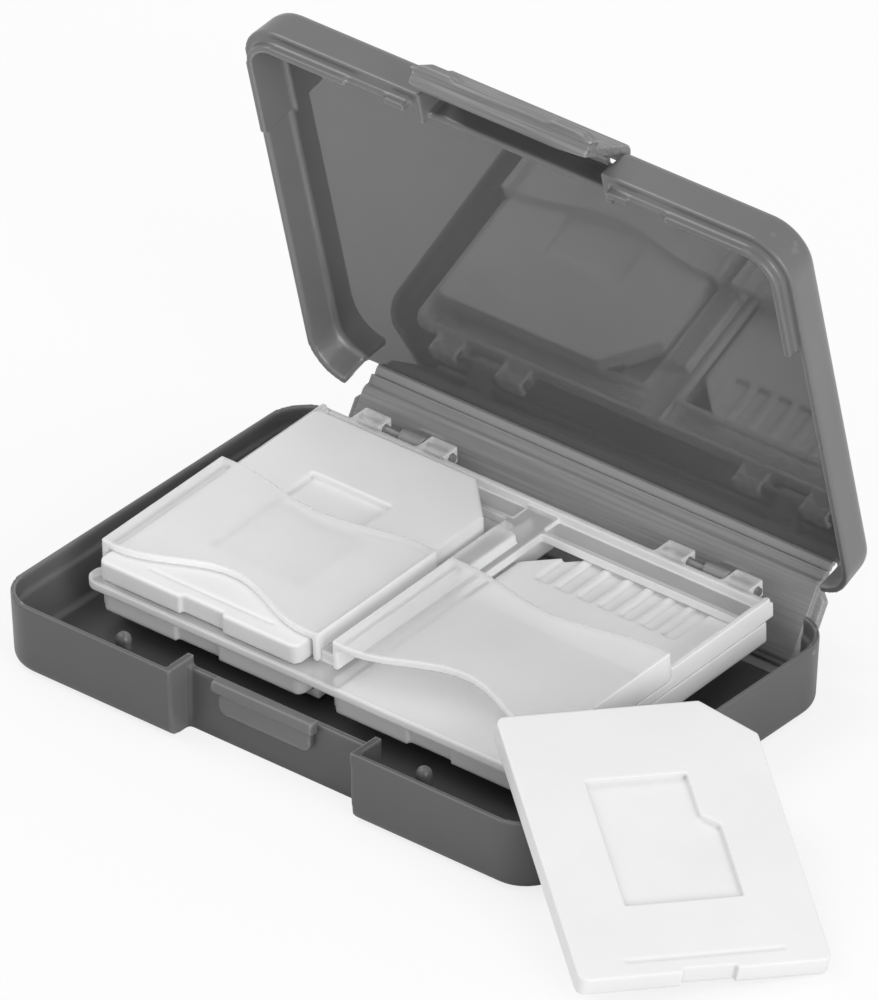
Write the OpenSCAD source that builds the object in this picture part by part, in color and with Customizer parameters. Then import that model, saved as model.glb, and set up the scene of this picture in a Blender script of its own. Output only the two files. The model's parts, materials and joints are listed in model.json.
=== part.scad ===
// Memory card case: a hinged shell with a flip tray that holds four card carriers.
// Origin: centre of the base's underside. X runs along the hinge, Y to the rear, Z up.
// Each piece is drawn as it lies in the closed case, then swung to its open resting place.

/* [Card carriers] */
// Width of a carrier
card_w = 24; // [20:0.1:28.8]
// Length of a carrier
card_l = 32; // [26.6:0.1:38.4]
// Thickness of a carrier
card_t = 2.1; // [1.8:0.05:2.6]
// Cut corner of a carrier
card_cut = 4.6; // [3.8:0.1:5.5]
// Radius of a carrier's corners
card_r = 0.9; // [0.5:0.1:1.5]
// Depth of the small card recess
slot_depth = 0.75; // [0.5:0.05:1]
// Width of the small card recess at its wide end
slot_w = 11.25; // [9.4:0.05:13.5]
// Length of the small card recess
slot_l = 15.1; // [12.6:0.1:18.2]

/* [Tray] */
// Thickness of the tray plate
plate_t = 1.0; // [0.8:0.05:1.2]
// Gap between the plate and a carrier
card_seat = 0.1; // [0.05:0.01:0.15]
// Gap between a carrier and its cover
cover_gap = 0.13; // [0.1:0.01:0.2]
// Thickness of a pocket cover
cover_t = 0.8; // [0.6:0.05:1]
// Side play of a carrier in its pocket, each side
pocket_play = 0.4; // [0.2:0.05:0.6]
// Thickness of the pocket side walls
pocket_wall = 0.6; // [0.5:0.05:0.8]
// Distance between the two pockets' walls
pocket_split = 1.8; // [1.4:0.1:3]
// Length of the pocket covers
cover_l = 17.6; // [14.7:0.1:21]
// Depth of the thumb curve at the front of a cover
front_curve = 3.4; // [2:0.1:4.5]
// Depth of the curve at the rear of a cover
rear_curve = 1.6; // [1:0.1:2.5]
// Distance from the pivot to the carriers' rear edge
rear_room = 3.9; // [3.7:0.1:4.7]
// How far the tray reaches past the carriers' front edge
front_margin = 0.6; // [0.5:0.05:0.7]
// Width of a pivot clip
clip_w = 3.1; // [2.5:0.1:3.8]
// Distance between the two clips of a pair
clip_gap = 4.9; // [4.1:0.1:5.9]
// Distance of a clip pair's middle in from the tray's side
clip_inset = 8.6; // [7.2:0.1:9.4]

/* [Case] */
// Wall thickness of the shells
wall = 0.8; // [0.65:0.05:1]
// Thickness of the base floor
floor_t = 1.1; // [0.9:0.05:1.3]
// Thickness of the lid panel
lid_t = 1.0; // [0.8:0.05:1.2]
// Height of the base rim
base_h = 7.5; // [7:0.1:8]
// Gap between the rims when closed
rim_gap = 0.2; // [0.1:0.05:0.3]
// Free height under the closed tray
under_room = 1.72; // [1.4:0.02:2.2]
// Free height over the closed tray
over_room = 0.82; // [0.6:0.05:1.2]
// Free width beside the tray, each side
side_room = 4.4; // [3.6:0.1:5.3]
// Free depth in front of the closed tray
front_room = 0.6; // [0.5:0.05:1]
// Outside corner radius in plan
corner_r = 4.6; // [4:0.1:5.5]
// Radius of the outer bottom and top edges
edge_r = 1.2; // [0.8:0.1:1.5]
// Taper of the outer walls over their height
draft = 0.3; // [0.1:0.05:0.4]
// Depth of the latch bay
bay_depth = 3.0; // [2.6:0.1:3.6]
// Width of the latch bay
bay_w = 21.6; // [18:0.1:26]
// Drop of the bay wall below the rims
bay_drop = 1.0; // [0.8:0.1:1.2]
// Distance of the pivot in from the spine's outer face
pivot_in = 4.1; // [3.7:0.1:4.9]
// Radius of the pivot rods
rod_r = 0.45; // [0.4:0.01:0.5]
// Length of a pivot rod
rod_l = 9.8; // [8.2:0.1:11.8]
// Thickness of the spine panel
spine_t = 1.0; // [0.85:0.05:1.2]
// Thickness of the polished band on the spine
band_t = 0.5; // [0.4:0.05:0.6]
// Thickness of the film hinges
film_t = 0.4; // [0.35:0.01:0.45]

/* [Latch] */
// Width of the catch bar
catch_w = 12; // [10:0.1:14.4]
// How far the catch lip stands out from the bay wall
catch_out = 1.2; // [1:0.05:1.4]
// Width of the latch flap's grip lip
grip_w = 24.4; // [22:0.1:29]
// Thickness of the latch flap
flap_t = 1.0; // [0.8:0.05:1.2]
// Height of the latch flap's lower edge
flap_foot = 4.5; // [4:0.1:5]

/* [Resting pose] */
// Lean of the spine from upright
spine_lean = 30.9; // [20:0.1:50]
// Opening of the lid from square to the spine
lid_open = 45.3; // [20:0.1:100]
// Swing of the latch flap from closed
flap_open = 36; // [10:0.5:80]
// Slope of the tray, front edge down
tray_pitch = 2.0; // [0:0.1:2.2]
// Sideways place of the tray on its pivots
tray_shift = -0.9; // [-0.95:0.05:0.95]
// Turn of the loose carrier in plan
loose_turn = 53.68; // [50:0.01:58]
// Slope of the loose carrier along its length
loose_slope = 16.75; // [14:0.01:20]
// Roll of the loose carrier
loose_roll = 4.69; // [0:0.01:6]
// Place of the loose carrier's top front left corner, out from the case's front right corner
loose_out = [14.8, -11.55];

/* [Hidden] */
$fn = 48;

// Small overlap that keeps joined shapes one solid
eps = 0.01;
// Running gap round a pivot, and the gap between parts that pass each other
run_gap = 0.05;
pass_gap = 0.3;

// The stack of plate, carriers and covers, both sides of the plate's middle plane
half_stack = plate_t / 2 + card_seat + card_t + cover_gap + cover_t;
// The pivot sits this far above the plate's middle plane
pivot_over_plate = 0.25;
pocket_in = card_w + 2 * pocket_play;
pocket_out = pocket_in + 2 * pocket_wall;
pocket_x = pocket_split / 2 + pocket_out / 2;
tray_half = pocket_x + pocket_out / 2;
bar_half = tray_half + 0.4;
tray_reach = rear_room + card_l + front_margin;
clip_x = tray_half - clip_inset;

// Overall sizes of the closed case
case_w = 2 * (bar_half + side_room + wall);
case_d = pivot_in + tray_reach + front_room + wall + bay_depth;
case_h = floor_t + under_room + 2 * half_stack + over_room + lid_t;
lid_h = case_h - base_h - rim_gap;

// Hinge lines
hinge_y = case_d / 2;
hinge_z = 0.5;
lid_hinge_z = case_h - 0.5;
rod_y = hinge_y - pivot_in;
rod_z = floor_t + under_room + half_stack + pivot_over_plate;
bead_r = 0.3;
groove_r = bead_r + run_gap;
hinge_lap = 0.25;

// Shell features
front_y = -case_d / 2;
bay_x = -0.1;
bay_y = front_y + bay_depth;
spine_half = case_w / 2 - corner_r + 0.3;
spine_step = 0.9;
spine_inner_y = hinge_y - spine_t - band_t;
shell_end_y = spine_inner_y - 0.4;
ear_half = spine_half + pass_gap;
step_h = 2.0;
step_in = 0.25;
lid_rim_z = base_h + rim_gap;
lid_inner_z = case_h - lid_t;
post_r = 0.8;
post_x = 18;

// Lip inside the lid's front rim, and its lowered stretches
lip_out = 1.0;
lip_t = 0.7;
lip_over = 1.1;
lip_low = 0.5;
lip_reach = 13;
lip_start = bay_w / 2 + wall + 0.4;
lip_near = bay_w / 2 + 3.6;
lip_far = bay_w / 2 + 8.2;

// Latch
flap_axis_y = bay_y - 0.7;
flap_axis_z = case_h - 0.5;
flap_half = bay_w / 2 - pass_gap;
flap_outer_y = front_y + 0.2;
flap_inner_y = flap_outer_y + flap_t;
flap_edge_r = 1.1;
grip_t = 0.7;
grip_h = 1.9;
grip_stand = 0.45;
grip_dip = 0.3;
grip_middle = 10.7;
grip_end = 2.8;
hook_end_left = 1.2;
hook_end_right = 4.6;
catch_x = -1.4;
catch_top = base_h - 0.45;
catch_low = catch_top - 1.35;
pad_out = catch_out - 0.5;
pad_low = catch_low - 2.2;
hook_top = catch_low - 0.15;
hook_y = bay_y - pad_out - 0.2;

// Tray levels, from the pivot line
plate_top = -pivot_over_plate + plate_t / 2;
plate_low = -pivot_over_plate - plate_t / 2;
cover_top = -pivot_over_plate + half_stack;
card_front = front_margin - tray_reach;
cover_front = card_front + 1.8;
cover_rear = cover_front + cover_l;
rail_rear = -1.4;
rail_front = -4.3;
rail_t = 0.6;
rail_h = 0.65;
bar_w = 2.7;
clip_top = 0.9;
clip_wall = 0.45;
clip_slot = 0.7;
boss_r = 0.85;
boss_w = clip_gap - 2.2;

// The loose carrier stands on its lowest rounded corner
loose_fall = [sin(loose_roll) * cos(loose_slope), sin(loose_slope)];
loose_z = (card_w - card_r) * loose_fall[0] + card_r * (norm(loose_fall) - loose_fall[1])
    + card_t * cos(loose_roll) * cos(loose_slope);

// Swings its children rearward about a line along X
module swing(y, z, angle)
{
    translate([0, y, z]) rotate([-angle, 0, 0]) translate([0, -y, -z]) children();
}

module on_spine() { swing(hinge_y, hinge_z, spine_lean) children(); }

module on_lid() { on_spine() swing(hinge_y, lid_hinge_z, lid_open) children(); }

module on_flap() { on_lid() swing(flap_axis_y, flap_axis_z, flap_open) children(); }

// The pivot line's frame on the spine
module on_pivot() { on_spine() translate([0, rod_y, rod_z]) children(); }

// The tray's frame: origin on the pivot line, X from the tray's middle
module on_tray()
{
    on_pivot() translate([tray_shift, 0, 0]) rotate([spine_lean + tray_pitch, 0, 0]) children();
}

// A block between two corners
module block(low, high) { translate(low) cube(high - low); }

// A round bar along X, centred on x = 0
module bar_x(length, r)
{
    translate([-length / 2, 0, 0]) rotate([0, 90, 0]) cylinder(h = length, r = r);
}

// An outline in the YZ plane, drawn out along X
module along_x(length)
{
    rotate([90, 0, 90]) translate([0, 0, -length / 2]) linear_extrude(length) children();
}

// An outline in the XZ plane, drawn out along Y
module along_y(length)
{
    rotate([90, 0, 0]) translate([0, 0, -length / 2]) linear_extrude(length) children();
}

module rounded_rect(w, d, r)
{
    square([w - 2 * r, d], center = true);
    square([w, d - 2 * r], center = true);
    for (x = [-1, 1], y = [-1, 1]) translate([x * (w / 2 - r), y * (d / 2 - r)]) circle(r);
}

// Half of a tub's cross-section: a tapered side with a rounded foot
module half_section(half, h, foot, taper)
{
    foot_x = half - taper - foot;
    polygon([[0, 0], [foot_x, 0], [foot_x, foot], [half - taper, foot], [half, h], [0, h]]);
    translate([foot_x, foot]) circle(foot);
}

module full_section(half, h, foot, taper)
{
    half_section(half, h, foot, taper);
    mirror([1, 0]) half_section(half, h, foot, taper);
}

// A box with rounded plan corners, a rounded foot edge and tapered sides
module tub(w, d, h, r, foot, taper)
{
    along_x(w - 2 * r) full_section(d / 2, h, foot, taper);
    along_y(d - 2 * r) full_section(w / 2, h, foot, taper);
    for (x = [-1, 1], y = [-1, 1]) translate([x * (w / 2 - r), y * (d / 2 - r), 0])
        rotate_extrude() half_section(r, h, foot, taper);
}

// Solid behind the latch bay, between two heights
module bay_block(z0, z1)
{
    block([bay_x - bay_w / 2 - wall, front_y + wall - 0.1, z0],
        [bay_x + bay_w / 2 + wall, bay_y + wall, z1]);
}

// The latch bay, open to the front
module bay_cut(z0, z1, depth)
{
    block([bay_x - bay_w / 2, front_y - 1, z0], [bay_x + bay_w / 2, front_y + depth, z1]);
}

// Space between the rear ears
module rear_cut(y0, z0, z1)
{
    block([-ear_half, y0, z0], [ear_half, hinge_y + 1, z1]);
}

// Walled tub with its rim upward; panel is the thickness of its closed side
module shell(h, panel)
{
    difference()
    {
        tub(case_w, case_d, h, corner_r, edge_r, draft);
        translate([0, 0, panel])
            tub(case_w - 2 * wall, case_d - 2 * wall, h - panel + eps, corner_r - wall, 0.5, 0.2);
    }
}

module post(x)
{
    translate([x, bay_y + 0.2, floor_t - eps]) cylinder(h = catch_top - floor_t - post_r, r = post_r);
    translate([x, bay_y + 0.2, catch_top - post_r - 2 * eps]) sphere(post_r);
}

module base_shell()
{
    color("dimgray")
    {
        difference()
        {
            union()
            {
                shell(base_h, floor_t);
                bay_block(floor_t - 0.3, base_h);
            }
            // The rim is thinner above the step line
            difference()
            {
                translate([0, 0, base_h - step_h]) linear_extrude(step_h + 1)
                    rounded_rect(case_w - 2 * (wall - step_in), case_d - 2 * (wall - step_in),
                        corner_r - wall + step_in);
                block([bay_x - lip_far, front_y, 0], [bay_x - lip_near, bay_y, base_h - 0.3]);
                block([bay_x + lip_near, front_y, 0], [bay_x + lip_far, bay_y, base_h - 0.3]);
                bay_block(0, base_h + 2);
            }
            bay_cut(-1, base_h + 1, bay_depth);
            bay_cut(base_h - bay_drop, base_h + 1, bay_depth + wall + 1);
            rear_cut(shell_end_y, -1, base_h + 1);
        }
        for (side = [-1, 1]) post(catch_x + 0.4 + side * post_x);
    }
}

module latch_catch()
{
    lip_r = 0.5;
    color("gray") translate([catch_x, 0, 0])
    {
        along_x(catch_w)
        {
            translate([bay_y - catch_out + lip_r, catch_top - lip_r]) circle(lip_r);
            translate([bay_y - catch_out + lip_r, catch_low + lip_r]) circle(lip_r);
            translate([bay_y - catch_out, catch_low + lip_r])
                square([catch_out, catch_top - catch_low - 2 * lip_r]);
            translate([bay_y - catch_out + lip_r, catch_low])
                square([catch_out - lip_r, catch_top - catch_low]);
        }
        // Pad under the lip, with rounded lower corners
        translate([0, bay_y - pad_out / 2, (pad_low + catch_low) / 2 + 0.2]) along_y(pad_out)
            rounded_rect(catch_w - 1, catch_low - pad_low + 0.4, 1);
    }
}

module base_hinge_film()
{
    color("gray")
    {
        translate([0, hinge_y, hinge_z]) bar_x(2 * spine_half, bead_r);
        block([-spine_half, shell_end_y, hinge_z - film_t / 2], [spine_half, hinge_y, hinge_z + film_t / 2]);
    }
}

module spine_panel()
{
    foot_z = hinge_z + film_t / 2 + 0.1;
    top_z = lid_hinge_z - 0.8;
    neck_z = top_z - 1.8;
    band_r = 0.45;
    band_low = foot_z + 0.5;
    band_top = top_z - 1.0;
    color("dimgray") on_spine() difference()
    {
        union()
        {
            translate([0, hinge_y - spine_t / 2, 0]) along_y(spine_t)
                polygon([[-spine_half, foot_z], [spine_half, foot_z], [spine_half, neck_z - spine_step],
                    [spine_half - spine_step, neck_z], [spine_half - spine_step, top_z],
                    [spine_step - spine_half, top_z], [spine_step - spine_half, neck_z],
                    [-spine_half, neck_z - spine_step]]);
            translate([0, spine_inner_y + band_t, (band_low + band_top) / 2])
                along_x(2 * (spine_half - spine_step))
                    rounded_rect(2 * band_t, band_top - band_low, band_r);
            for (side = [-1, 1]) translate([side * clip_x, rod_y, rod_z])
            {
                bar_x(boss_w, boss_r);
                block([-boss_w / 2, 0, -boss_r], [boss_w / 2, spine_inner_y - rod_y + eps, boss_r]);
            }
        }
        translate([0, hinge_y, hinge_z]) bar_x(case_w, groove_r);
        translate([0, rod_y, rod_z]) bar_x(case_w, rod_r + run_gap);
    }
}

module lid_hinge_film()
{
    film_half = spine_half - spine_step;
    color("silver") on_spine()
    {
        translate([0, hinge_y, lid_hinge_z]) bar_x(2 * film_half, bead_r);
        block([-film_half, hinge_y - film_t, lid_hinge_z - 0.8], [film_half, hinge_y, lid_hinge_z]);
    }
}

// Outline of the lip that follows the front of the lid
module lip_outline()
{
    intersection()
    {
        difference()
        {
            rounded_rect(case_w - 2 * lip_out, case_d - 2 * lip_out, corner_r - lip_out);
            rounded_rect(case_w - 2 * (lip_out + lip_t), case_d - 2 * (lip_out + lip_t),
                corner_r - lip_out - lip_t);
        }
        translate([-case_w, front_y]) square([2 * case_w, lip_reach]);
    }
}

module lid_shell()
{
    lip_low_z = lid_rim_z - lip_over;
    color("dimgray") on_lid() difference()
    {
        union()
        {
            translate([0, 0, case_h]) mirror([0, 0, 1]) shell(lid_h, lid_t);
            translate([0, 0, lip_low_z]) linear_extrude(lid_inner_z - lip_low_z + eps) lip_outline();
            bay_block(lid_rim_z, lid_inner_z + eps);
            // Square rear edge that meets the film hinge
            block([-ear_half, shell_end_y, lid_inner_z], [ear_half, hinge_y - hinge_lap, case_h]);
        }
        // Space for the base's bay walls, then the lowered stretches of the lip
        block([bay_x - lip_start, front_y, lip_low_z - 1], [bay_x + lip_start, bay_y + wall + 1, lid_rim_z]);
        for (x = [-lip_far, lip_near])
            block([bay_x + x, front_y, lip_low_z - 1],
                [bay_x + x + lip_far - lip_near, bay_y, lip_low_z + lip_low]);
        bay_cut(lip_low_z - 1, case_h + 1, bay_depth);
        bay_cut(lip_low_z - 1, lid_rim_z + bay_drop, bay_depth + wall + 1);
        rear_cut(shell_end_y, lip_low_z - 1, lid_inner_z);
        rear_cut(hinge_y - hinge_lap, lid_inner_z - 1, case_h + 1);
        rear_cut(hinge_y - film_t - 0.35, lid_inner_z - 1, lid_hinge_z);
        translate([0, hinge_y, lid_hinge_z]) bar_x(2 * ear_half, groove_r);
    }
}

module latch_hinge_film()
{
    film_l = 2 * flap_half - 4;
    color("silver") on_lid() translate([bay_x, 0, 0])
    {
        translate([0, flap_axis_y, flap_axis_z]) bar_x(film_l, bead_r);
        translate([0, 0, flap_axis_z - film_t / 2])
            block([-film_l / 2, flap_axis_y, 0], [film_l / 2, bay_y, film_t]);
    }
}

// Outline of the grip lip from above
module grip_outline()
{
    rear = flap_outer_y - grip_stand;
    front = rear - grip_t;
    dip = grip_middle / 2;
    polygon([[-grip_w / 2, rear], [-grip_w / 2, rear - 0.2], [grip_end - grip_w / 2, front], [-dip - 1, front],
        [-dip, front + grip_dip], [dip, front + grip_dip], [dip + 0.7, front], [grip_w / 2 - grip_end, front + 0.1],
        [grip_w / 2, rear - 0.2], [grip_w / 2, rear]]);
}

module latch_flap()
{
    flap_top = case_h - 0.05;
    corner_z = flap_top - flap_edge_r;
    leg_rear = flap_axis_y - hinge_lap;
    color("darkgray") on_flap() translate([bay_x, 0, 0]) difference()
    {
        union()
        {
            along_x(2 * flap_half)
            {
                translate([flap_outer_y, flap_foot + 0.5]) square([flap_t, corner_z - flap_foot - 0.5]);
                translate([flap_outer_y + flap_edge_r, flap_top - flap_t])
                    square([leg_rear - flap_outer_y - flap_edge_r, flap_t]);
                intersection()
                {
                    translate([flap_outer_y + flap_edge_r, corner_z]) circle(flap_edge_r);
                    translate([flap_outer_y, corner_z]) square([flap_edge_r, flap_edge_r]);
                }
                translate([flap_outer_y + 0.5, flap_foot + 0.5]) circle(0.5);
                translate([flap_outer_y + 0.5, flap_foot]) square([flap_t - 0.5, 1]);
            }
            // Hook that catches under the base's lip, drawn in at its ends
            intersection()
            {
                along_x(2 * flap_half)
                    polygon([[flap_inner_y - 0.1, flap_foot + 0.1], [hook_y - 0.2, flap_foot + 0.2],
                        [hook_y, hook_top - 0.3], [hook_y - 0.1, hook_top], [flap_inner_y - 0.1, hook_top]]);
                translate([0, 0, flap_foot]) linear_extrude(hook_top - flap_foot + 1)
                    polygon([[0.2 - flap_half, flap_inner_y - 0.2], [flap_half - 0.2, flap_inner_y - 0.2],
                        [flap_half - 0.2, flap_inner_y], [flap_half - hook_end_right, hook_y + 0.1],
                        [hook_end_left - flap_half, hook_y + 0.1], [0.2 - flap_half, flap_inner_y]]);
            }
            // Grip lip in front of the case, dipped in the middle and drawn in at its ends
            translate([0, 0, flap_foot]) linear_extrude(grip_h) grip_outline();
            block([-flap_half, flap_outer_y - grip_stand - 0.05, flap_foot + 0.2],
                [flap_half, flap_outer_y + 0.3, flap_foot + grip_h - 0.3]);
        }
        translate([0, flap_axis_y, flap_axis_z]) bar_x(case_w, groove_r);
    }
}

module pivot_rods()
{
    color("dimgray") on_pivot() for (side = [-1, 1]) translate([side * clip_x, 0, 0]) bar_x(rod_l, rod_r);
}

// A clip that snaps over a pivot rod, open below
module clip(x)
{
    clip_rear = rod_r + run_gap + clip_wall;
    translate([x, 0, 0]) difference()
    {
        block([-clip_w / 2, rail_rear - rail_t, -clip_top], [clip_w / 2, clip_rear, clip_top]);
        bar_x(clip_w + 1, rod_r + run_gap);
        block([-clip_w, -clip_slot / 2, -clip_top - 1], [clip_w, clip_slot / 2, 0]);
    }
}

module tray_frame()
{
    window_front = cover_rear - 1;
    bar_r = 1.5;
    bar_top = plate_top + 1.25;
    bar_rear = rail_front - 3.3;
    clip_places = [for (side = [-1, 1], end = [-1, 1]) side * clip_x + end * (clip_gap + clip_w) / 2];
    color("gainsboro") on_tray() difference()
    {
        union()
        {
            block([-tray_half, bar_r - tray_reach, plate_low], [tray_half, rail_rear, plate_top]);
            // Front bar, a little wider than the pockets
            translate([0, bar_r - tray_reach, plate_low]) linear_extrude(plate_t)
                rounded_rect(2 * bar_half, 2 * bar_r, bar_r - eps);
            // Raised rail along the rear edge
            block([-tray_half, rail_rear - rail_t, plate_low], [tray_half, rail_rear, plate_top + rail_h]);
            // Side rails behind the covers
            for (side = [-1, 1])
                block([side * (tray_half - rail_t / 2) - rail_t / 2, cover_rear + 0.1, plate_low],
                    [side * (tray_half - rail_t / 2) + rail_t / 2, rail_rear - 0.4, plate_top + 1.3]);
            // Rib between the pockets, wider and rounded behind the covers
            block([-pocket_split / 2, cover_front + 0.5, plate_low],
                [pocket_split / 2, cover_rear + 0.2, bar_top]);
            translate([0, (cover_rear + bar_rear) / 2 + 0.05, (bar_top + plate_low) / 2])
                along_y(bar_rear - cover_rear - 0.1) rounded_rect(bar_w, bar_top - plate_low, 0.7);
            for (x = clip_places) clip(x);
        }
        // Channel between the rear rail and the edge of the windows
        block([pocket_split, rail_front, plate_top - 0.5],
            [tray_half - rail_t - 0.3, rail_rear - rail_t, plate_top + 0.1]);
        block([rail_t + 0.3 - tray_half, rail_front, plate_top - 0.5],
            [-pocket_split, rail_rear - rail_t, plate_top + 0.1]);
        // Windows behind the pockets
        for (side = [-1, 1])
            block([side * pocket_x - pocket_in / 2 + 0.6, window_front, plate_low - 1],
                [side * pocket_x + pocket_in / 2 - 0.6, rail_front - rail_t, plate_top + 0.6]);
    }
}

// Bell-shaped edge: full depth at the middle, none at the ends
function bell(u) = u <= -1 || u >= 1 ? 0 : (1 + cos(180 * u)) / 2;

// Cover outline with a bell-shaped curve at each end
module cover_outline()
{
    half = pocket_out / 2;
    front_half = 11.4 / 13 * half;
    steps = [for (i = [-16:16]) i / 16];
    front = [for (u = steps) [u * half, cover_front + front_curve * bell(u * half / front_half)]];
    rear = [for (u = steps) [-u * half, cover_rear - rear_curve * bell(u * half / front_half)]];
    polygon(concat(front, rear));
}

// A pocket's side walls and cover on the tray's upper side; the walls may run on to the rear
module sleeve(wall_rear)
{
    for (side = [-1, 1])
        block([side * (pocket_out - pocket_wall) / 2 - pocket_wall / 2, cover_front, plate_top],
            [side * (pocket_out - pocket_wall) / 2 + pocket_wall / 2, wall_rear, cover_top - cover_t + eps]);
    translate([0, 0, cover_top - cover_t]) linear_extrude(cover_t) cover_outline();
}

// Turns a sleeve over to the tray's underside
module underside()
{
    translate([0, 0, -2 * pivot_over_plate]) mirror([0, 0, 1]) children();
}

module sleeve_top_left() { color("whitesmoke") on_tray() translate([-pocket_x, 0, 0]) sleeve(cover_rear); }

module sleeve_top_right() { color("whitesmoke") on_tray() translate([pocket_x, 0, 0]) sleeve(cover_rear); }

module sleeve_bottom_left()
{
    color("whitesmoke") on_tray() underside() translate([-pocket_x, 0, 0]) sleeve(rail_rear - 1);
}

module sleeve_bottom_right()
{
    color("whitesmoke") on_tray() underside() translate([pocket_x, 0, 0]) sleeve(rail_rear - 1);
}

// Carrier lying face up: front edge at y = 0, underside at z = 0, centred on x = 0
module carrier()
{
    half = card_w / 2;
    slot_x = -half + 6.45;
    slot_y = 8.4;
    slot_narrow = 1.6;
    notch_w = 5.1;
    notch_x = -half + 12.45;
    bay_l = 5.8;
    bay_h = 0.45;
    bay_pitch = 2.5;
    bay_gap = 1.7;
    last_bay = half - 3.8;
    bays = floor((last_bay + half - 1.5) / bay_pitch);
    color("white") difference()
    {
        linear_extrude(card_t) difference()
        {
            translate([0, card_l / 2]) rounded_rect(card_w, card_l, card_r);
            polygon([[half - card_cut, card_l + 1], [half - card_cut, card_l], [half, card_l - card_cut],
                [half + 1, card_l - card_cut], [half + 1, card_l + 1]]);
            translate([notch_x - notch_w / 2, -1]) square([notch_w, 1.45]);
        }
        // Recess for a small card, stepped in on its right side
        translate([0, 0, card_t - slot_depth]) linear_extrude(slot_depth + 1)
            polygon([[slot_x, slot_y], [slot_x + slot_w, slot_y], [slot_x + slot_w, slot_y + 0.57 * slot_l],
                [slot_x + slot_w - slot_narrow, slot_y + 0.66 * slot_l],
                [slot_x + slot_w - slot_narrow, slot_y + slot_l], [slot_x, slot_y + slot_l]]);
        // Fine line near the front edge
        block([-half + 4.7, 1.6, card_t - 0.15], [half - 4.1, 2.1, card_t + 1]);
        // Bays between the contact ribs on the underside
        for (i = [0:bays - 1]) translate([last_bay - i * bay_pitch, card_l, 0])
            block([-bay_gap / 2, -bay_l, -1], [bay_gap / 2, 1, bay_h]);
    }
}

module carrier_top_left()
{
    on_tray() translate([-pocket_x, card_front, plate_top + card_seat]) carrier();
}

// The lower carriers lie face down
module lower_carrier(x)
{
    on_tray() translate([x, card_front, plate_low - card_seat]) rotate([0, 180, 0]) carrier();
}

module carrier_bottom_left() { lower_carrier(-pocket_x + pocket_play - 0.1); }

module carrier_bottom_right() { lower_carrier(pocket_x + pocket_play - 0.1); }

module carrier_loose()
{
    translate([case_w / 2 + loose_out[0], front_y + loose_out[1], loose_z]) rotate([0, 0, loose_turn])
        rotate([loose_slope, 0, 0]) rotate([0, loose_roll, 0]) translate([card_w / 2, 0, -card_t]) carrier();
}

base_shell();
latch_catch();
base_hinge_film();
spine_panel();
lid_hinge_film();
lid_shell();
latch_hinge_film();
latch_flap();
pivot_rods();
tray_frame();
sleeve_top_left();
sleeve_top_right();
sleeve_bottom_left();
sleeve_bottom_right();
carrier_top_left();
carrier_bottom_left();
carrier_bottom_right();
carrier_loose();
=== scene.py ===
import json
import math

import bpy
from mathutils import Matrix, Vector

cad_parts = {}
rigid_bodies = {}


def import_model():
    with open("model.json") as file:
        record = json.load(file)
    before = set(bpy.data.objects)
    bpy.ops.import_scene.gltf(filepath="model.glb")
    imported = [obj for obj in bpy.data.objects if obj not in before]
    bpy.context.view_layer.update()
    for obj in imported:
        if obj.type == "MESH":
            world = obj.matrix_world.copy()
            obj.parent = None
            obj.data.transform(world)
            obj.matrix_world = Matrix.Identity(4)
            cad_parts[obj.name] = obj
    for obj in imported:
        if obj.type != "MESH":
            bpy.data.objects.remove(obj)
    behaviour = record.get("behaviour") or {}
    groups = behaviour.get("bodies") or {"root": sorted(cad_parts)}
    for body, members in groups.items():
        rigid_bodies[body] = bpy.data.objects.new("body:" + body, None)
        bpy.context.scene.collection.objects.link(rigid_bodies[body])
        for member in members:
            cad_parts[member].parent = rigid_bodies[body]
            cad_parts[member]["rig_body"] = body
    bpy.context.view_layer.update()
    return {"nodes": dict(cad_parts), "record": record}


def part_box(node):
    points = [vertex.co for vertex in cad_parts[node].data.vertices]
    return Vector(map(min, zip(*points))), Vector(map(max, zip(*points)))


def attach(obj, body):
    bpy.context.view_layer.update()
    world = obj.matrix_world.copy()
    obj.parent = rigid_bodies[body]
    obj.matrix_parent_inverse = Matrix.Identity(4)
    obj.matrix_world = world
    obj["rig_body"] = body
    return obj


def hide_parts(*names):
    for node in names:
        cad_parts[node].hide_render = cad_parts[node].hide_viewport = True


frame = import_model()
nodes = frame["nodes"]
record = frame["record"]
mm = 0.001

# Each hinge turns about -X and closes at its lower limit, which is the turn about X from closed to rest
joints = record["behaviour"]["joints"]
CLOSED = {joint["name"]: joint["range_deg"][0] for joint in joints if "range_deg" in joint}
SPINE_TURN = CLOSED["spine_hinge"]
LID_TURN = SPINE_TURN + CLOSED["lid_hinge"]
FLAP_TURN = LID_TURN + CLOSED["latch_hinge"]
TRAY_TURN = 2.0
# Turn, slope and roll of the loose carrier, as in the part's source
LOOSE_TURN = 53.68
LOOSE_SLOPE = 16.75
LOOSE_ROLL = 4.69

CAMERA_TARGET = Vector((5.0, -2.5, 22.87)) * mm
CAMERA_AZIMUTH = 39.32
CAMERA_ELEVATION = 32.34
CAMERA_DISTANCE = 1.8404
CAMERA_LENS_MM = 720
CAMERA_SENSOR_MM = 36

# The world's light on the object, and where the softboxes point
WORLD_STRENGTH = 0.78
LIGHT_TARGET = Vector((0, 0, 0.02))
SOFTBOX_SIDE = 0.5

FLOOR_HALF = 3.0
FLOOR_DROP = 0.02 * mm
FLOOR_GREY = 0.86
# How far the floor is lifted to plain white for the camera
FLOOR_LIFT = 0.8

# Cell size of a remesh, in millimetres
FINEST = 0.12
FINE = 0.15
COARSE = 0.22

# What is left of roughness and grain on the lid's glossy inner face
POLISH_ROUGHNESS = 0.08
POLISH_GRAIN = 0.02
# How near to that face a point counts as on it, in millimetres
POLISH_BAND = 0.25
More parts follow.
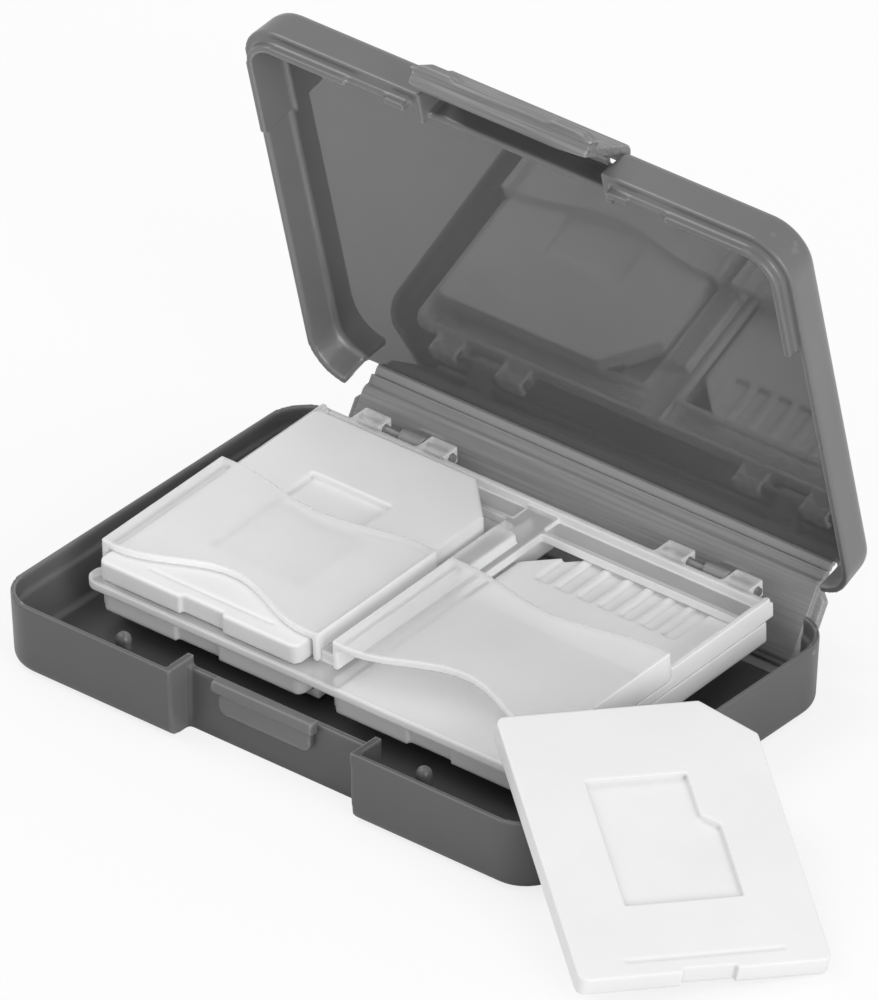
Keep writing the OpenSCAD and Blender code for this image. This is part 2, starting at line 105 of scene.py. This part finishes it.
# Share of the milky plastic's dense part that lets light through
MILK_SHARE = 0.2

# Millimetres in the lid and the flap: the lid's panel, and the flap's sheet, hook and half grip
LID_PANEL = 1.0
FLAP_SHEET = 2.15
HOOK_HEIGHT = 2.2
GRIP_HALF = 10.7
# Share of its reach that the hook keeps
HOOK_SHARE = 0.4


def turned(angle, axis="X"):
    return Matrix.Rotation(math.radians(angle), 4, axis)


def upward(turn):
    """The closed case's upward direction, on a piece that is turned about X."""
    return turned(turn).to_3x3() @ Vector((0, 0, 1))


def middle(node):
    low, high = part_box(node)
    return (Vector(low) + Vector(high)) / 2


# Camera and light

def add_camera():
    azimuth = math.radians(CAMERA_AZIMUTH)
    elevation = math.radians(CAMERA_ELEVATION)
    level = math.cos(elevation)
    back = Vector((math.sin(azimuth) * level, -math.cos(azimuth) * level, math.sin(elevation)))
    data = bpy.data.cameras.new("camera")
    data.lens = CAMERA_LENS_MM
    data.sensor_width = CAMERA_SENSOR_MM
    data.clip_start = 0.05
    data.clip_end = 20
    camera = bpy.data.objects.new("camera", data)
    bpy.context.scene.collection.objects.link(camera)
    camera.location = CAMERA_TARGET + back * CAMERA_DISTANCE
    camera.rotation_mode = "QUATERNION"
    camera.rotation_quaternion = back.to_track_quat("Z", "Y")
    bpy.context.scene.camera = camera


def add_softbox(name, place, power):
    data = bpy.data.lights.new(name, "AREA")
    data.shape = "SQUARE"
    data.size = SOFTBOX_SIDE
    data.energy = power
    light = bpy.data.objects.new(name, data)
    bpy.context.scene.collection.objects.link(light)
    light.location = place
    light.rotation_mode = "QUATERNION"
    light.rotation_quaternion = (LIGHT_TARGET - Vector(place)).to_track_quat("-Z", "Y")


def add_world():
    """Even light all round, which the camera sees as plain white."""
    world = bpy.data.worlds.new("studio")
    bpy.context.scene.world = world
    world.use_nodes = True
    tree = world.node_tree
    tree.nodes.clear()
    path = tree.nodes.new("ShaderNodeLightPath")
    light = tree.nodes.new("ShaderNodeBackground")
    light.inputs["Color"].default_value = (1, 1, 1, 1)
    light.inputs["Strength"].default_value = WORLD_STRENGTH
    white = tree.nodes.new("ShaderNodeBackground")
    white.inputs["Color"].default_value = (1, 1, 1, 1)
    mix = tree.nodes.new("ShaderNodeMixShader")
    out = tree.nodes.new("ShaderNodeOutputWorld")
    tree.links.new(path.outputs["Is Camera Ray"], mix.inputs[0])
    tree.links.new(light.outputs[0], mix.inputs[1])
    tree.links.new(white.outputs[0], mix.inputs[2])
    tree.links.new(mix.outputs[0], out.inputs["Surface"])


def add_floor():
    """A pale floor that keeps the object's shadow and is lifted towards white for the camera."""
    mesh = bpy.data.meshes.new("floor")
    corners = [(x * FLOOR_HALF, y * FLOOR_HALF, 0) for x, y in ((-1, -1), (1, -1), (1, 1), (-1, 1))]
    mesh.from_pydata(corners, [], [(0, 1, 2, 3)])
    floor = bpy.data.objects.new("floor", mesh)
    bpy.context.scene.collection.objects.link(floor)
    floor.location.z = -FLOOR_DROP
    material = bpy.data.materials.new("floor")
    material.use_nodes = True
    tree = material.node_tree
    tree.nodes.clear()
    diffuse = tree.nodes.new("ShaderNodeBsdfDiffuse")
    diffuse.inputs["Color"].default_value = (FLOOR_GREY, FLOOR_GREY, FLOOR_GREY, 1)
    glow = tree.nodes.new("ShaderNodeEmission")
    path = tree.nodes.new("ShaderNodeLightPath")
    seen = tree.nodes.new("ShaderNodeMath")
    seen.operation = "MULTIPLY"
    seen.inputs[1].default_value = FLOOR_LIFT
    mix = tree.nodes.new("ShaderNodeMixShader")
    out = tree.nodes.new("ShaderNodeOutputMaterial")
    tree.links.new(path.outputs["Is Camera Ray"], seen.inputs[0])
    tree.links.new(seen.outputs[0], mix.inputs[0])
    tree.links.new(diffuse.outputs[0], mix.inputs[1])
    tree.links.new(glow.outputs[0], mix.inputs[2])
    tree.links.new(mix.outputs[0], out.inputs["Surface"])
    mesh.materials.append(material)


# Materials

class Shader:
    """A node material that grows by named helpers."""

    def __init__(self, name, ior):
        self.material = bpy.data.materials.new(name)
        self.material.use_nodes = True
        self.tree = self.material.node_tree
        self.surface = self.tree.nodes["Principled BSDF"]
        self.surface.inputs["IOR"].default_value = ior
        place = self.tree.nodes.new("ShaderNodeTexCoord")
        self.place = place.outputs["Object"]
        self.facing = place.outputs["Normal"]
        self.sharpness = self.node("ShaderNodeNewGeometry").outputs["Pointiness"]

    def node(self, kind, **settings):
        made = self.tree.nodes.new(kind)
        for key, value in settings.items():
            setattr(made, key, value)
        return made

    def link(self, source, target):
        self.tree.links.new(source, target)

    def finish_with(self, colour, roughness):
        self.link(colour, self.surface.inputs["Base Color"])
        self.link(roughness, self.surface.inputs["Roughness"])

    def noise(self, scale, detail, stretch=(1, 1, 1)):
        """Noise in the piece's own frame, scale in cycles per millimetre."""
        mapping = self.node("ShaderNodeMapping")
        mapping.inputs["Scale"].default_value = stretch
        self.link(self.place, mapping.inputs["Vector"])
        texture = self.node("ShaderNodeTexNoise")
        texture.inputs["Scale"].default_value = scale / mm
        texture.inputs["Detail"].default_value = detail
        self.link(mapping.outputs[0], texture.inputs["Vector"])
        return texture.outputs["Fac"]

    def spread(self, source, low, high, start=0.3, end=0.7):
        """The source's values from start to end, spread from low to high and held there."""
        made = self.node("ShaderNodeMapRange")
        made.inputs["From Min"].default_value = start
        made.inputs["From Max"].default_value = end
        made.inputs["To Min"].default_value = low
        made.inputs["To Max"].default_value = high
        self.link(source, made.inputs["Value"])
        return made.outputs[0]

    def varied(self, source, value, share):
        """value, less or more by a share of it as the source goes."""
        return self.spread(source, value * (1 - share), value * (1 + share))

    def masked(self, mask, bare, full):
        """bare where the mask is none, full where it is one."""
        return self.spread(mask, bare, full, start=0.0, end=1.0)

    def math(self, operation, first, second):
        made = self.node("ShaderNodeMath", operation=operation)
        for socket, value in zip(made.inputs, (first, second)):
            if isinstance(value, (int, float)):
                socket.default_value = value
            else:
                self.link(value, socket)
        return made.outputs[0]

    def times(self, first, second):
        return self.math("MULTIPLY", first, second)

    def size(self, value):
        return self.math("ABSOLUTE", value, 0)

    def grey(self, value):
        combine = self.node("ShaderNodeCombineColor")
        for socket in combine.inputs[:3]:
            self.link(value, socket)
        return combine.outputs[0]

    def bump(self, height, distance, strength):
        """Bump from a height, distance in millimetres."""
        bump = self.node("ShaderNodeBump")
        bump.inputs["Distance"].default_value = distance * mm
        bump.inputs["Strength"].default_value = strength
        self.link(height, bump.inputs["Height"])
        self.link(bump.outputs[0], self.surface.inputs["Normal"])

    def across(self, first, second):
        """Dot product of two vectors, each a socket or a constant."""
        dot = self.node("ShaderNodeVectorMath", operation="DOT_PRODUCT")
        for socket, value in zip(dot.inputs, (first, second)):
            if isinstance(value, Vector):
                socket.default_value = value
            else:
                self.link(value, socket)
        return dot.outputs["Value"]

    def edges(self, start=0.52, end=0.60):
        """One on raised edges, none on flats and in hollows."""
        return self.spread(self.sharpness, 0.0, 1.0, start, end)

    def upright(self, turn):
        """One on walls and rims, none on faces square to the piece's own upward direction."""
        level = self.size(self.across(self.facing, upward(turn)))
        return self.spread(level, 1.0, 0.0, start=0.55, end=0.85)

    def inward(self, turn, centre):
        """One on walls that face the middle of the piece, none elsewhere."""
        up = upward(turn)
        shift = self.node("ShaderNodeVectorMath", operation="SUBTRACT")
        self.link(self.place, shift.inputs[0])
        shift.inputs[1].default_value = centre
        outward = self.across(shift.outputs[0], self.facing)
        rise = self.times(self.across(shift.outputs[0], up), self.across(self.facing, up))
        level = self.math("SUBTRACT", outward, rise)
        return self.spread(level, 1.0, 0.0, start=-6 * mm, end=-1 * mm)


def shell_material(name, base, rough=(0.30, 0.40), ior=1.5, polish=None, tub=None, glow=1.6, streaks=0.0,
                   edge_highlight=2.0):
    """Smoke-grey moulded plastic: fine grain, flow clouds, and raised edges made paler by rim, which is a
    painted highlight.

    polish gives a mask of the glossy faces. tub gives the turn and centre of a piece whose inner walls are
    painted paler by glow, which is painted light. streaks is the strength of flow lines along X.
    """
    shader = Shader(name, ior)
    colour = shader.varied(shader.noise(scale=0.06, detail=4), base, share=0.07)
    if streaks:
        lines = shader.noise(scale=3.5, detail=6, stretch=(0.02, 1, 1))
        colour = shader.times(colour, shader.varied(lines, 1, streaks))
    if tub:
        # Painted light: walls that face the middle of the piece are made paler by glow.
        colour = shader.times(colour, shader.masked(shader.inward(*tub), bare=1.0, full=glow))
    # Painted highlight: raised edges are made paler by rim, standing in for the light that catches them.
    colour = shader.times(colour, shader.masked(shader.edges(), bare=1.0, full=edge_highlight))
    grain = shader.noise(scale=6.0, detail=2)
    roughness = shader.spread(shader.noise(scale=0.15, detail=5), *rough)
    if polish:
        mask = polish(shader)
        roughness = shader.times(roughness, shader.masked(mask, bare=1.0, full=POLISH_ROUGHNESS))
        grain = shader.times(grain, shader.masked(mask, bare=1.0, full=POLISH_GRAIN))
    shader.finish_with(shader.grey(colour), roughness)
    shader.bump(grain, distance=0.006, strength=0.6)
    return shader.material


def lid_polish(shader):
    """One on the lid's inner face, none elsewhere."""
    up = upward(LID_TURN)
    outside = max(vertex.co.dot(up) for vertex in nodes["lid_shell"].data.vertices) / mm
    height = shader.across(shader.place, up / mm)
    away = shader.size(shader.math("SUBTRACT", height, outside - LID_PANEL))
    return shader.math("LESS_THAN", away, POLISH_BAND)


def milky_material(name, base, face, wall, rough):
    """Milky clear plastic: face is how dense a sheet is, and wall how dense its walls and rims are."""
    shader = Shader(name, ior=1.45)
    clouds = shader.noise(scale=0.12, detail=3)
    colour = shader.grey(shader.spread(clouds, base * 0.97, min(1.0, base * 1.03)))
    roughness = shader.varied(shader.noise(scale=0.4, detail=3), rough, share=0.2)
    shader.finish_with(colour, roughness)
    shader.bump(shader.noise(scale=0.5, detail=2), distance=0.004, strength=0.3)
    through = shader.node("ShaderNodeBsdfTranslucent")
    shader.link(colour, through.inputs["Color"])
    milk = shader.node("ShaderNodeMixShader")
    milk.inputs[0].default_value = MILK_SHARE
    shader.link(shader.surface.outputs[0], milk.inputs[1])
    shader.link(through.outputs[0], milk.inputs[2])
    dense = shader.math("MAXIMUM", shader.upright(TRAY_TURN), shader.edges(start=0.51, end=0.62))
    mix = shader.node("ShaderNodeMixShader")
    shader.link(shader.masked(dense, bare=face, full=wall), mix.inputs[0])
    shader.link(shader.node("ShaderNodeBsdfTransparent").outputs[0], mix.inputs[1])
    shader.link(milk.outputs[0], mix.inputs[2])
    shader.link(mix.outputs[0], shader.tree.nodes["Material Output"].inputs["Surface"])
    return shader.material


def white_material(name, base):
    """Opaque white plastic with a soft satin surface and a little shade in its hollows."""
    shader = Shader(name, ior=1.45)
    clouds = shader.spread(shader.noise(scale=0.08, detail=4), base - 0.02, base + 0.02)
    shade = shader.spread(shader.sharpness, 0.62, 1.0, start=0.42, end=0.49)
    roughness = shader.spread(shader.noise(scale=0.5, detail=4), 0.42, 0.55)
    shader.finish_with(shader.grey(shader.times(clouds, shade)), roughness)
    shader.bump(shader.noise(scale=5.0, detail=2), distance=0.004, strength=0.5)
    return shader.material


# Pieces

def softened(piece, voxel, passes):
    """The piece's mesh, remeshed in cells of voxel millimetres and smoothed."""
    remesh = piece.modifiers.new("remesh", "REMESH")
    remesh.mode = "VOXEL"
    remesh.voxel_size = voxel * mm
    remesh.use_smooth_shade = True
    smooth = piece.modifiers.new("smooth", "SMOOTH")
    smooth.factor = 0.5
    smooth.iterations = passes
    evaluated = piece.evaluated_get(bpy.context.evaluated_depsgraph_get())
    soft = bpy.data.meshes.new_from_object(evaluated)
    piece.modifiers.clear()
    return soft


def moulded(node, stance, voxel, passes, material, before=None):
    """A soft-edged copy of a CAD node, remeshed square to its own frame, which stance turns to its place.

    before changes the mesh in that frame before the remesh.
    """
    cad = nodes[node]
    mesh = cad.data.copy()
    mesh.transform(stance.inverted())
    if before:
        before(mesh)
    mesh.materials.clear()
    piece = bpy.data.objects.new(node + "_moulded", mesh)
    bpy.context.scene.collection.objects.link(piece)
    soft = softened(piece, voxel, passes)
    soft.transform(stance)
    for polygon in soft.polygons:
        polygon.use_smooth = True
    soft.materials.clear()
    soft.materials.append(material)
    piece.data = soft
    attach(piece, cad["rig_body"])
    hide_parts(node)


def slim_latch(mesh):
    """Draws the flap's hook and the ends of its grip in, as on the real case."""
    places = [vertex.co for vertex in mesh.vertices]
    sheet = min(place.y for place in places) + FLAP_SHEET * mm
    hook_top = min(place.z for place in places) + HOOK_HEIGHT * mm
    centre = (min(place.x for place in places) + max(place.x for place in places)) / 2
    left = centre - GRIP_HALF * mm
    right = centre + GRIP_HALF * mm
    for place in places:
        if place.z < hook_top and place.y > sheet:
            place.y = sheet + (place.y - sheet) * HOOK_SHARE
        place.x = min(max(place.x, left), right)


def repaint(node, material):
    """Gives a CAD node that keeps its mesh a new material."""
    nodes[node].data.materials.clear()
    nodes[node].data.materials.append(material)


def add_shells():
    # Every smoke here gets a painted highlight on its raised edges, paler by rim.
    shell = shell_material("shell_smoke", 0.085, tub=(0, middle("base_shell")))
    # The base and the lid carry painted light on their inner walls, paler by glow.
    lid = shell_material("lid_smoke", 0.11, ior=1.8, polish=lid_polish, tub=(LID_TURN, middle("lid_shell")),
                         glow=1.7, edge_highlight=1.25)
    # The spine's paler grey is painted light, standing in for the light from above that falls on it; its
    # streaks are flow lines.
    spine = shell_material("spine_smoke_painted_light", 0.27, rough=(0.35, 0.50), streaks=0.16)
    catch = shell_material("catch_smoke", 0.13)
    latch = shell_material("latch_smoke", 0.17, rough=(0.35, 0.50), streaks=0.35)
    # The hinge films' paler grey is painted light, standing in for light shining through the thin film from
    # behind.
    film = shell_material("film_smoke_painted_backlight", 0.17)
    upright = Matrix.Identity(4)
    moulded("base_shell", upright, COARSE, 3, shell)
    moulded("latch_catch", upright, FINE, 3, catch)
    moulded("spine_panel", turned(SPINE_TURN), FINE, 2, spine)
    moulded("lid_shell", turned(LID_TURN), COARSE, 3, lid)
    moulded("latch_flap", turned(FLAP_TURN), FINE, 3, latch, slim_latch)
    for node in ("base_hinge_film", "lid_hinge_film", "latch_hinge_film"):
        repaint(node, film)
    repaint("pivot_rods", shell)


def add_tray():
    tray = milky_material("tray_milky", base=0.98, face=0.32, wall=0.94, rough=0.22)
    sleeve = milky_material("sleeve_milky", base=0.99, face=0.34, wall=0.95, rough=0.20)
    moulded("tray_frame", turned(TRAY_TURN), FINE, 2, tray)
    for place in ("top_left", "top_right", "bottom_left", "bottom_right"):
        moulded("sleeve_" + place, turned(TRAY_TURN), FINE, 4, sleeve)


def add_carriers():
    white = white_material("carrier_white", 0.81)
    loose_white = white_material("loose_white", 0.76)
    for place in ("top_left", "bottom_left", "bottom_right"):
        moulded("carrier_" + place, turned(TRAY_TURN), FINE, 6, white)
    loose = turned(LOOSE_TURN, "Z") @ turned(LOOSE_SLOPE) @ turned(LOOSE_ROLL, "Y")
    moulded("carrier_loose", loose, FINEST, 9, loose_white)


add_camera()
add_world()
add_softbox("key", (-0.6, -0.2, 0.9), power=2.8)
add_softbox("side", (0.9, -0.3, 0.35), power=4.2)
add_floor()
add_shells()
add_tray()
add_carriers()

bpy.context.scene.view_settings.view_transform = "Standard"
